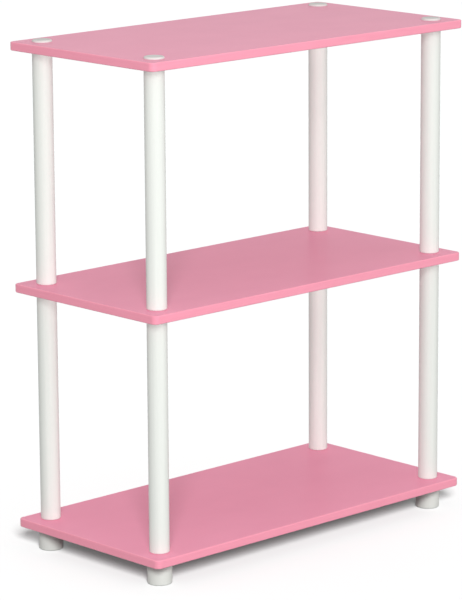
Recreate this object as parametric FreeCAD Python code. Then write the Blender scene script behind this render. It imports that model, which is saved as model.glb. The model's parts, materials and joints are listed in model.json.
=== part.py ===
import FreeCAD
import Part

import os

# Three-tier shelf: three laminated panels carried by four screwed tube posts.
# Each post is a foot, two tubes and a cap. A stud on the lower end of every tube, and on every cap, passes
# through a hole in the panel below it and screws into the foot or tube under that panel, which clamps the panel.
# Frame: origin on the floor under the middle of the shelf, X along the width, Y from front to back, Z up.
# Lengths are in millimetres. The screw threads are left out, so studs and sockets are plain cylinders.

Vector = FreeCAD.Vector
ORIGIN = Vector(0, 0, 0)
UP = Vector(0, 0, 1)
SIDEWAYS = Vector(1, 0, 0)
FULL_TURN = 360.0
TOLERANCE = 1e-6

# Panels: a particle-board core with a plastic strip glued round its edge
PANEL_NAMES = ("bottom_panel", "middle_panel", "top_panel")
PANEL_WIDTH = 600.0
PANEL_DEPTH = 295.0
PANEL_THICKNESS = 12.0
PANEL_CORNER_RADIUS = 8.0
BAND_THICKNESS = 2.0
BAND_ARRIS_RADIUS = 1.6
BAND_BUTT_GAP = 0.3
GLUE_LINE = 0.05

# Posts: tubes with a moulded plug pressed into each end
TUBE_LEVELS = ("lower", "upper")
POST_INSET = 33.0
TUBE_OUTER_DIAMETER = 28.0
TUBE_WALL = 1.6
TUBE_LENGTH = 319.5
COLLAR_HEIGHT = 4.0
COLLAR_EDGE_RADIUS = 2.2
RIB_COUNT = 6
RIB_WIDTH = 2.0
RIB_HEIGHT = 0.8
RIB_FIT_CLEARANCE = 0.05
PLUG_FLOOR = 3.0
PLUG_LEAD_CHAMFER = 1.0

# Screw joint: what a stud and its socket share
SOCKET_WALL = 2.4
SOCKET_LEAD_CHAMFER = 0.8
STUD_WALL = 3.0
STUD_ENGAGEMENT = 22.0
STUD_TIP_CHAMFER = 1.5
STUD_TIP_CLEARANCE = 2.0
SCREW_CLEARANCE = 0.1
PANEL_HOLE_CLEARANCE = 0.9

# Feet: tapered cups with a ribbed socket boss
FOOT_HEIGHT = 32.0
FOOT_FLARE = 3.4
FOOT_TAPER = 0.3
FOOT_EDGE_RADIUS = 2.0
FOOT_WALL = 2.5
FOOT_RIB_COUNT = 6
FOOT_RIB_THICKNESS = 1.6

# Caps: low buttons on a hollow stud
CAP_HEIGHT = 3.0
CAP_EDGE_RADIUS = 2.4

# Largest share of a wall that a rounding may take
ROUNDING_SHARE = 0.8

# Sizes that follow from the ones above
tube_radius = TUBE_OUTER_DIAMETER / 2
tube_bore_radius = tube_radius - TUBE_WALL
plug_radius = tube_bore_radius - RIB_HEIGHT
socket_radius = plug_radius - SOCKET_WALL
stud_radius = socket_radius - SCREW_CLEARANCE
stud_bore_radius = stud_radius - STUD_WALL
panel_hole_radius = stud_radius + PANEL_HOLE_CLEARANCE
stud_length = PANEL_THICKNESS + STUD_ENGAGEMENT
socket_depth = STUD_ENGAGEMENT + STUD_TIP_CLEARANCE
foot_floor = FOOT_HEIGHT - socket_depth
plug_reach = socket_depth + PLUG_FLOOR
post_length = TUBE_LENGTH + 2 * COLLAR_HEIGHT
tier_pitch = PANEL_THICKNESS + post_length

# Which way each post lies from the middle of the panel, along X and Y
POSTS = {
    "front_left": (-1, -1),
    "front_right": (1, -1),
    "back_left": (-1, 1),
    "back_right": (1, 1),
}


def post_place(post, height):
    """Point on a post's axis at a given height."""
    side_x, side_y = POSTS[post]
    x = side_x * (PANEL_WIDTH / 2 - POST_INSET)
    y = side_y * (PANEL_DEPTH / 2 - POST_INSET)
    return Vector(x, y, height)


def panel_base(tier):
    """Height of the underside of a panel, counted from 0 at the bottom."""
    return FOOT_HEIGHT + tier * tier_pitch


def rounding(radius, wall):
    """Radius of a rounded edge, kept within its share of the wall that it is cut from."""
    return min(radius, ROUNDING_SHARE * wall)


def turned(outline):
    """Solid of revolution about Z from a closed outline of (radius, height) points."""
    points = [Vector(radius, 0, height) for radius, height in outline]
    face = Part.Face(Part.makePolygon(points + points[:1]))
    return face.revolve(ORIGIN, UP, FULL_TURN)


def rod(radius, low, high):
    """Cylinder about Z between two heights."""
    return Part.makeCylinder(radius, high - low, Vector(0, 0, low), UP)


def rounded_rim(solid, height, size):
    """The solid with its widest circular edge at a given height rounded off."""
    rims = [
        edge
        for edge in solid.Edges
        if isinstance(edge.Curve, Part.Circle) and abs(edge.Curve.Center.z - height) < TOLERANCE
    ]
    widest = max(rims, key=lambda edge: edge.Curve.Radius)
    return solid.makeFillet(size, [widest])


def spokes(count, width, reach, low, high):
    """Ribs that run out from the Z axis to a round envelope of a given reach."""
    bar = Part.makeBox(reach, width, high - low, Vector(0, -width / 2, low))
    turns = [bar.rotated(ORIGIN, UP, FULL_TURN * turn / count) for turn in range(count)]
    return turns[0].multiFuse(turns[1:]).common(rod(reach, low, high))


def rounded_slab(inset):
    """The panel's outline, drawn in by an inset on every side, and as thick as the panel from Z = 0 up."""
    half_x = PANEL_WIDTH / 2 - inset
    half_y = PANEL_DEPTH / 2 - inset
    slab = Part.makeBox(2 * half_x, 2 * half_y, PANEL_THICKNESS, Vector(-half_x, -half_y, 0))
    uprights = [edge for edge in slab.Edges if edge.BoundBox.ZLength > PANEL_THICKNESS / 2]
    return slab.makeFillet(PANEL_CORNER_RADIUS - inset, uprights)


def panel_core():
    """Board with a clearance hole for the stud at every post."""
    core = rounded_slab(BAND_THICKNESS + GLUE_LINE)
    hole = rod(panel_hole_radius, 0, PANEL_THICKNESS)
    for post in POSTS:
        core = core.cut(hole.translated(post_place(post, 0)))
    return core


def edge_band():
    """Strip round the board with eased arrises, whose ends butt at the middle of the back edge."""
    skin = rounded_slab(0)
    arrises = [edge for edge in skin.Edges if edge.BoundBox.ZLength < TOLERANCE]
    eased = skin.makeFillet(rounding(BAND_ARRIS_RADIUS, BAND_THICKNESS), arrises)
    depth = 2 * BAND_THICKNESS
    corner = Vector(-BAND_BUTT_GAP / 2, PANEL_DEPTH / 2 - depth, 0)
    butt = Part.makeBox(BAND_BUTT_GAP, depth, PANEL_THICKNESS, corner)
    return eased.cut(rounded_slab(BAND_THICKNESS)).cut(butt)


def stud():
    """Solid stud with a chamfered tip, hanging below Z = 0."""
    tip = -stud_length
    outline = [
        (0, tip),
        (stud_radius - STUD_TIP_CHAMFER, tip),
        (stud_radius, tip + STUD_TIP_CHAMFER),
        (stud_radius, 0),
        (0, 0),
    ]
    return turned(outline)


def socket(depth):
    """Space of a socket whose chamfered mouth is at Z = 0 and whose floor lies a given depth below."""
    outline = [
        (0, -depth),
        (socket_radius, -depth),
        (socket_radius, -SOCKET_LEAD_CHAMFER),
        (socket_radius + SOCKET_LEAD_CHAMFER, 0),
        (0, 0),
    ]
    return turned(outline)


def plug_body():
    """Solid plug with the face of its collar at Z = 0 and its ribbed core, which fills the tube, above that."""
    shoulder = plug_reach - PLUG_LEAD_CHAMFER
    core = turned(
        [
            (0, 0),
            (plug_radius, 0),
            (plug_radius, shoulder),
            (plug_radius - PLUG_LEAD_CHAMFER, plug_reach),
            (0, plug_reach),
        ]
    )
    ribs = spokes(RIB_COUNT, RIB_WIDTH, tube_bore_radius - RIB_FIT_CLEARANCE, COLLAR_HEIGHT, shoulder)
    collar_edge = rounding(COLLAR_EDGE_RADIUS, COLLAR_HEIGHT)
    collar = rounded_rim(rod(tube_radius, 0, COLLAR_HEIGHT), 0, collar_edge)
    return collar.multiFuse([core, ribs])


def stud_plug():
    """Plug for a tube's lower end: the collar's face is at Z = 0, with the stud below it, and it is hollow above."""
    hollow = rod(stud_bore_radius, STUD_WALL - stud_length, plug_reach)
    return plug_body().fuse(stud()).cut(hollow).removeSplitter()


def socket_plug():
    """Plug for a tube's upper end: the collar's face is at Z = 0, with the socket's mouth in it."""
    return plug_body().rotated(ORIGIN, SIDEWAYS, FULL_TURN / 2).cut(socket(socket_depth)).removeSplitter()


def tube():
    """Plain tube that stands on Z = 0."""
    return rod(tube_radius, 0, TUBE_LENGTH).cut(rod(tube_bore_radius, 0, TUBE_LENGTH))


def foot():
    """Tapered cup that stands on Z = 0, with ribs round the socket boss in its open top."""
    top_radius = tube_radius + FOOT_FLARE
    base_radius = top_radius - FOOT_TAPER
    cone = turned([(0, 0), (base_radius, 0), (top_radius, FOOT_HEIGHT), (0, FOOT_HEIGHT)])
    body = rounded_rim(cone, 0, rounding(FOOT_EDGE_RADIUS, foot_floor))
    inside = turned(
        [
            (0, foot_floor),
            (base_radius - FOOT_WALL, foot_floor),
            (top_radius - FOOT_WALL, FOOT_HEIGHT),
            (0, FOOT_HEIGHT),
        ]
    )
    boss = rod(socket_radius + SOCKET_WALL, foot_floor, FOOT_HEIGHT)
    ribs = spokes(FOOT_RIB_COUNT, FOOT_RIB_THICKNESS, top_radius, foot_floor, FOOT_HEIGHT)
    stiffened = body.cut(inside).fuse(boss.fuse(ribs).common(body))
    return stiffened.cut(socket(socket_depth).translated(UP * FOOT_HEIGHT)).removeSplitter()


def cap():
    """Low round button whose underside is at Z = 0, on a stud that is hollow from its tip."""
    cap_edge = rounding(CAP_EDGE_RADIUS, CAP_HEIGHT)
    button = rounded_rim(rod(tube_radius, 0, CAP_HEIGHT), CAP_HEIGHT, cap_edge)
    return button.fuse(stud()).cut(rod(stud_bore_radius, -stud_length, 0)).removeSplitter()


def save(name, shape):
    """Writes one piece and prints what it holds."""
    shape.exportStep(os.path.join("parts", name + ".step"))
    print(f"{name}: {len(shape.Solids)} solid, {shape.Volume / 1000:.2f} cm3, valid {shape.isValid()}")


def save_panels():
    """Writes each panel's board and edge strip."""
    core = panel_core()
    band = edge_band()
    for tier, panel in enumerate(PANEL_NAMES):
        lift = UP * panel_base(tier)
        save(panel, core.translated(lift))
        save(panel + "_edge_band", band.translated(lift))


def save_posts():
    """Writes each post's foot, tubes, plugs and cap."""
    foot_piece = foot()
    tube_piece = tube()
    stud_plug_piece = stud_plug()
    socket_plug_piece = socket_plug()
    cap_piece = cap()
    top_face = panel_base(len(TUBE_LEVELS)) + PANEL_THICKNESS
    for post in POSTS:
        save("foot_" + post, foot_piece.translated(post_place(post, 0)))
        save("cap_" + post, cap_piece.translated(post_place(post, top_face)))
        for tier, level in enumerate(TUBE_LEVELS):
            stand = post_place(post, panel_base(tier) + PANEL_THICKNESS)
            save(f"{level}_tube_{post}", tube_piece.translated(stand + UP * COLLAR_HEIGHT))
            save(f"{level}_stud_plug_{post}", stud_plug_piece.translated(stand))
            save(f"{level}_socket_plug_{post}", socket_plug_piece.translated(stand + UP * post_length))


os.makedirs("parts", exist_ok=True)
save_panels()
save_posts()
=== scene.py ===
import json
import math

import bpy
from mathutils import Matrix, Vector


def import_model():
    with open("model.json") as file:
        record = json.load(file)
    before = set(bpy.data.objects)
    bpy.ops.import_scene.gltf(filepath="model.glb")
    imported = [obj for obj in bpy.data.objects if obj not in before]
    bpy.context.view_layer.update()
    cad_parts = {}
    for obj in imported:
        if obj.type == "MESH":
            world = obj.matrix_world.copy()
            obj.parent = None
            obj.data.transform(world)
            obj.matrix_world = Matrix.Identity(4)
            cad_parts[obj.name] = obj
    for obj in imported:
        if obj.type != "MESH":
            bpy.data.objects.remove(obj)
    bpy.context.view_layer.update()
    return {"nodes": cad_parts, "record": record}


# Looks of the three-tier shelf: pink laminated boards with a plastic edge strip, on white tube posts.
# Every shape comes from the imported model, so this script adds finishes, a floor, light and the camera.
# Lengths are in metres, angles in degrees and powers in watts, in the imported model's frame.

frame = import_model()

# Camera, fitted to the edges of the boards and tubes in the photograph
CAMERA_PLACE = Vector((-3.0999, -3.2596, 1.3380))
CAMERA_YAW = 43.360
CAMERA_PITCH = 12.556
CAMERA_ROLL = -0.354
CAMERA_LENS_MM = 193.84
CAMERA_SENSOR_MM = 36.0
CAMERA_REACH = 100.0

# Surroundings: how strongly they light, and how bright they are where they are seen
WORLD_STRENGTH = 0.43
BACKGROUND_STRENGTH = 1.0

# Words in the names of the pieces that shade a softbox
ALWAYS_SHADING = ("bottom_panel", "cap", "foot")
EDGES = ALWAYS_SHADING + ("edge_band",)
TUBES = ALWAYS_SHADING + ("tube",)
EDGES_AND_TUBES = EDGES + ("tube",)
WHOLE_BOARDS = ("panel", "cap", "foot")

# Softboxes round the shelf. The key is two in one place, so that the edge strips shade only part of it.
SOFTBOX_AIM = Vector((0.0, 0.0, 0.36))
SOFTBOX_DISTANCE = 4.0
KEY = {"azimuth": -44.0, "elevation": 23.0, "size": 0.9}
SOFTBOXES = {
    "key_softbox": dict(KEY, power=72.0, shading=TUBES),
    "key_edge_softbox": dict(KEY, power=43.0, shading=EDGES_AND_TUBES),
    "fill_softbox": dict(azimuth=20.0, elevation=13.0, size=2.0, power=44.0, shading=EDGES),
    "back_softbox": dict(azimuth=140.0, elevation=4.0, size=2.0, power=56.0, shading=EDGES),
    "overhead_softbox": dict(azimuth=0.0, elevation=88.0, size=2.0, power=13.0, shading=WHOLE_BOARDS),
}

# Lamp that lights the floor alone
FLOOR_LAMP_AZIMUTH = -38.0
FLOOR_LAMP_ELEVATION = 27.0
FLOOR_LAMP_DISTANCE = 5.0
FLOOR_LAMP_ANGLE = 17.0
FLOOR_LAMP_STRENGTH = 7.4

# Floor: half its side, its shade where it is seen and where it only lights, and a glow that is only seen
FLOOR_HALF = 40.0
FLOOR_SEEN = 0.62
FLOOR_LIT = 0.20
FLOOR_GLOW = 0.10
FLOOR_GLOW_COLOUR = (0.8, 1.0, 0.95, 1.0)


def rgb(red, green, blue):
    """Linear colour with alpha from a display colour given in steps of 255, by the sRGB curve."""
    def linear(step):
        share = step / 255.0
        return share / 12.92 if share <= 0.04045 else ((share + 0.055) / 1.055) ** 2.4

    return (linear(red), linear(green), linear(blue), 1.0)


# Colours of the finishes, the share of a noise over which dark turns to light, and the depth of the relief
LAMINATE_LIGHT = rgb(237, 154, 179)
LAMINATE_DARK = rgb(234, 151, 176)
BAND_LIGHT = rgb(240, 154, 175)
BAND_DARK = rgb(236, 149, 170)
TUBE_LIGHT = rgb(226, 229, 224)
TUBE_DARK = rgb(222, 225, 220)
PLUG_LIGHT = TUBE_LIGHT
PLUG_DARK = TUBE_DARK
# Feet: greyer than the tubes, painted shade for the shade under the lowest board
SHADED_FOOT_LIGHT = rgb(219, 221, 216)
SHADED_FOOT_DARK = rgb(215, 217, 212)
# Caps: greyer than the tubes, painted shade for their dim tops and dark reflections
SHADED_CAP_LIGHT = rgb(211, 209, 206)
SHADED_CAP_DARK = rgb(206, 204, 201)
DARK_UP_TO = 0.3
LIGHT_FROM = 0.7
RELIEF_DEPTH = 0.0001


class Finish:
    """A node material with one principled shader, textured in the model's own metres."""

    def __init__(self, name, specular):
        self.material = bpy.data.materials.new(name)
        self.material.use_nodes = True
        self.nodes = self.material.node_tree.nodes
        self.links = self.material.node_tree.links
        self.shader = self.nodes["Principled BSDF"]
        self.shader.inputs["Specular IOR Level"].default_value = specular
        self.place = self.nodes.new("ShaderNodeTexCoord").outputs["Object"]

    def noise(self, per_metre, detail):
        """Noise with a number of features per metre along X, Y and Z."""
        mapping = self.nodes.new("ShaderNodeMapping")
        mapping.inputs["Scale"].default_value = per_metre
        self.links.new(self.place, mapping.inputs["Vector"])
        texture = self.nodes.new("ShaderNodeTexNoise")
        texture.inputs["Scale"].default_value = 1.0
        texture.inputs["Detail"].default_value = detail
        self.links.new(mapping.outputs["Vector"], texture.inputs["Vector"])
        return texture.outputs["Fac"]

    def colour(self, amount, dark, light):
        """Base colour that runs from dark to light with a noise."""
        ramp = self.nodes.new("ShaderNodeValToRGB")
        start, end = ramp.color_ramp.elements
        start.position = DARK_UP_TO
        start.color = dark
        end.position = LIGHT_FROM
        end.color = light
        self.links.new(amount, ramp.inputs["Fac"])
        self.links.new(ramp.outputs["Color"], self.shader.inputs["Base Color"])

    def roughness(self, amount, low, high):
        """Roughness that runs from low to high with a noise."""
        span = self.nodes.new("ShaderNodeMapRange")
        span.inputs["To Min"].default_value = low
        span.inputs["To Max"].default_value = high
        self.links.new(amount, span.inputs["Value"])
        self.links.new(span.outputs["Result"], self.shader.inputs["Roughness"])

    def bump(self, height, strength):
        """Surface relief that follows a noise."""
        relief = self.nodes.new("ShaderNodeBump")
        relief.inputs["Strength"].default_value = strength
        relief.inputs["Distance"].default_value = RELIEF_DEPTH
        self.links.new(height, relief.inputs["Height"])
        self.links.new(relief.outputs["Normal"], self.shader.inputs["Normal"])


def laminate():
    """Satin laminate foil with a faint cloud in its colour and a fine pebble in its surface."""
    finish = Finish("panel_laminate", specular=0.015)
    finish.colour(finish.noise(per_metre=(9, 14, 14), detail=4), LAMINATE_DARK, LAMINATE_LIGHT)
    finish.roughness(finish.noise(per_metre=(25, 25, 25), detail=2), low=0.24, high=0.28)
    finish.bump(finish.noise(per_metre=(700, 700, 700), detail=2), strength=0.04)
    return finish.material


def edge_strip():
    """Satin plastic strip with drawing lines along the board's edge."""
    finish = Finish("edge_band", specular=0.3)
    finish.colour(finish.noise(per_metre=(20, 20, 300), detail=3), BAND_DARK, BAND_LIGHT)
    finish.roughness(finish.noise(per_metre=(40, 40, 600), detail=2), low=0.32, high=0.42)
    finish.bump(finish.noise(per_metre=(30, 30, 900), detail=2), strength=0.1)
    return finish.material


def drawn_tube():
    """White plastic tube with faint drawing lines along its length."""
    finish = Finish("tube", specular=0.08)
    finish.colour(finish.noise(per_metre=(260, 260, 5), detail=3), TUBE_DARK, TUBE_LIGHT)
    finish.roughness(finish.noise(per_metre=(500, 500, 8), detail=2), low=0.30, high=0.40)
    finish.bump(finish.noise(per_metre=(420, 420, 6), detail=2), strength=0.08)
    return finish.material


def moulded(name, dark, light, specular, low, high):
    """White moulded plastic with a fine spark texture, and a roughness that runs from low to high."""
    finish = Finish(name, specular)
    finish.colour(finish.noise(per_metre=(60, 60, 60), detail=3), dark, light)
    finish.roughness(finish.noise(per_metre=(300, 300, 300), detail=2), low, high)
    finish.bump(finish.noise(per_metre=(1500, 1500, 1500), detail=2), strength=0.1)
    return finish.material


def dress():
    """Gives every piece of the model the finish of its slot in the record."""
    finishes = {
        "panel_laminate": laminate(),
        "edge_band": edge_strip(),
        "tube": drawn_tube(),
        "plug": moulded("plug", PLUG_DARK, PLUG_LIGHT, specular=0.08, low=0.34, high=0.44),
        # Feet get the greyed colours with painted shade under the lowest board
        "foot": moulded("foot", SHADED_FOOT_DARK, SHADED_FOOT_LIGHT, specular=0.08, low=0.42, high=0.52),
        # Caps get the greyed colours with painted shade on their tops
        "cap": moulded("cap", SHADED_CAP_DARK, SHADED_CAP_LIGHT, specular=0.06, low=0.52, high=0.62),
    }
    for part in frame["record"]["subparts"]:
        for slot in frame["nodes"][part["node"]].material_slots:
            slot.material = finishes[part["material_slot"]]


def floor():
    """Plain pale floor that keeps the shelf's shadow, and throws back less light than the camera sees."""
    mesh = bpy.data.meshes.new("floor")
    corners = [(x * FLOOR_HALF, y * FLOOR_HALF, 0.0) for x, y in ((-1, -1), (1, -1), (1, 1), (-1, 1))]
    mesh.from_pydata(corners, [], [(0, 1, 2, 3)])
    plane = bpy.data.objects.new("floor", mesh)
    bpy.context.scene.collection.objects.link(plane)
    material = bpy.data.materials.new("floor")
    material.use_nodes = True
    nodes = material.node_tree.nodes
    links = material.node_tree.links
    shader = nodes["Principled BSDF"]
    shader.inputs["Roughness"].default_value = 1.0
    shader.inputs["Specular IOR Level"].default_value = 0.0
    shader.inputs["Emission Color"].default_value = FLOOR_GLOW_COLOUR
    seen = seen_directly(nodes, links)
    levels = {"Base Color": (FLOOR_LIT, FLOOR_SEEN), "Emission Strength": (0.0, FLOOR_GLOW)}
    for socket, (lighting, showing) in levels.items():
        span = nodes.new("ShaderNodeMapRange")
        span.inputs["To Min"].default_value = lighting
        span.inputs["To Max"].default_value = showing
        links.new(seen, span.inputs["Value"])
        links.new(span.outputs["Result"], shader.inputs[socket])
    mesh.materials.append(material)
    return plane


def seen_directly(nodes, links):
    """Socket that is 1 for what the camera sees, also by reflection or through glass.

    It is 0 for what only lights.
    """
    path = nodes.new("ShaderNodeLightPath")
    seen = path.outputs["Is Camera Ray"]
    for kind in ("Is Glossy Ray", "Is Transmission Ray"):
        either = nodes.new("ShaderNodeMath")
        either.operation = "MAXIMUM"
        links.new(seen, either.inputs[0])
        links.new(path.outputs[kind], either.inputs[1])
        seen = either.outputs["Value"]
    return seen


def world():
    """Even white surroundings: full white where they are seen, and fainter where they light."""
    surroundings = bpy.data.worlds.new("studio")
    bpy.context.scene.world = surroundings
    surroundings.use_nodes = True
    nodes = surroundings.node_tree.nodes
    links = surroundings.node_tree.links
    background = nodes["Background"]
    background.inputs["Color"].default_value = (1.0, 1.0, 1.0, 1.0)
    strength = nodes.new("ShaderNodeMapRange")
    strength.inputs["To Min"].default_value = WORLD_STRENGTH
    strength.inputs["To Max"].default_value = BACKGROUND_STRENGTH
    links.new(seen_directly(nodes, links), strength.inputs["Value"])
    links.new(strength.outputs["Result"], background.inputs["Strength"])


def pieces(*words):
    """The pieces of the model with one of these words in their names."""
    return [piece for node, piece in frame["nodes"].items() if any(word in node for word in words)]


def gathered(name, items):
    """A collection of the given objects."""
    group = bpy.data.collections.new(name)
    for item in items:
        group.objects.link(item)
    return group


def place_round(aim, azimuth, elevation, distance):
    """Place at a distance from the aim. Azimuth 0 is in front of the shelf, and turns to the right."""
    turn = math.radians(azimuth)
    rise = math.radians(elevation)
    flat = math.cos(rise)
    return aim + distance * Vector((math.sin(turn) * flat, -math.cos(turn) * flat, math.sin(rise)))


def lamp(name, data, place, aim, lit, shading):
    """Puts a lamp at a place and turns it to its aim.

    It lights only the lit objects, only the shading ones shade it, and none mirror it.
    """
    holder = bpy.data.objects.new(name, data)
    bpy.context.scene.collection.objects.link(holder)
    holder.location = place
    holder.rotation_mode = "QUATERNION"
    holder.rotation_quaternion = (aim - place).to_track_quat("-Z", "Y")
    holder.visible_glossy = False
    holder.light_linking.receiver_collection = gathered(name + "_lights", lit)
    holder.light_linking.blocker_collection = gathered(name + "_shadows", shading)


def softbox(name, azimuth, elevation, size, power, shading):
    """Square light that is aimed at the middle of the shelf and lights the shelf alone."""
    data = bpy.data.lights.new(name, "AREA")
    data.size = size
    data.energy = power
    place = place_round(SOFTBOX_AIM, azimuth, elevation, SOFTBOX_DISTANCE)
    lamp(name, data, place, SOFTBOX_AIM, frame["nodes"].values(), pieces(*shading))


def floor_lamp(ground):
    """Soft light beside the camera for the floor, which the lowest board and the feet shade."""
    data = bpy.data.lights.new("floor_lamp", "SUN")
    data.angle = math.radians(FLOOR_LAMP_ANGLE)
    data.energy = FLOOR_LAMP_STRENGTH
    aim = Vector((0.0, 0.0, 0.0))
    place = place_round(aim, FLOOR_LAMP_AZIMUTH, FLOOR_LAMP_ELEVATION, FLOOR_LAMP_DISTANCE)
    lamp("floor_lamp", data, place, aim, [ground], pieces("bottom_panel", "foot"))


def camera():
    """Camera at the photograph's angle, without shift or depth of field."""
    data = bpy.data.cameras.new("camera")
    data.sensor_width = CAMERA_SENSOR_MM
    data.lens = CAMERA_LENS_MM
    data.clip_end = CAMERA_REACH
    holder = bpy.data.objects.new("camera", data)
    bpy.context.scene.collection.objects.link(holder)
    yaw = math.radians(CAMERA_YAW)
    pitch = math.radians(CAMERA_PITCH)
    ahead = Vector((math.sin(yaw) * math.cos(pitch), math.cos(yaw) * math.cos(pitch), -math.sin(pitch)))
    right = Vector((math.cos(yaw), -math.sin(yaw), 0.0))
    right.rotate(Matrix.Rotation(math.radians(-CAMERA_ROLL), 3, ahead))
    above = right.cross(ahead)
    turn = Matrix((right, above, -ahead)).transposed()
    holder.matrix_world = Matrix.Translation(CAMERA_PLACE) @ turn.to_4x4()
    bpy.context.scene.camera = holder


dress()
world()
for name, settings in SOFTBOXES.items():
    softbox(name, **settings)
floor_lamp(floor())
camera()
bpy.context.scene.view_settings.view_transform = "Standard"
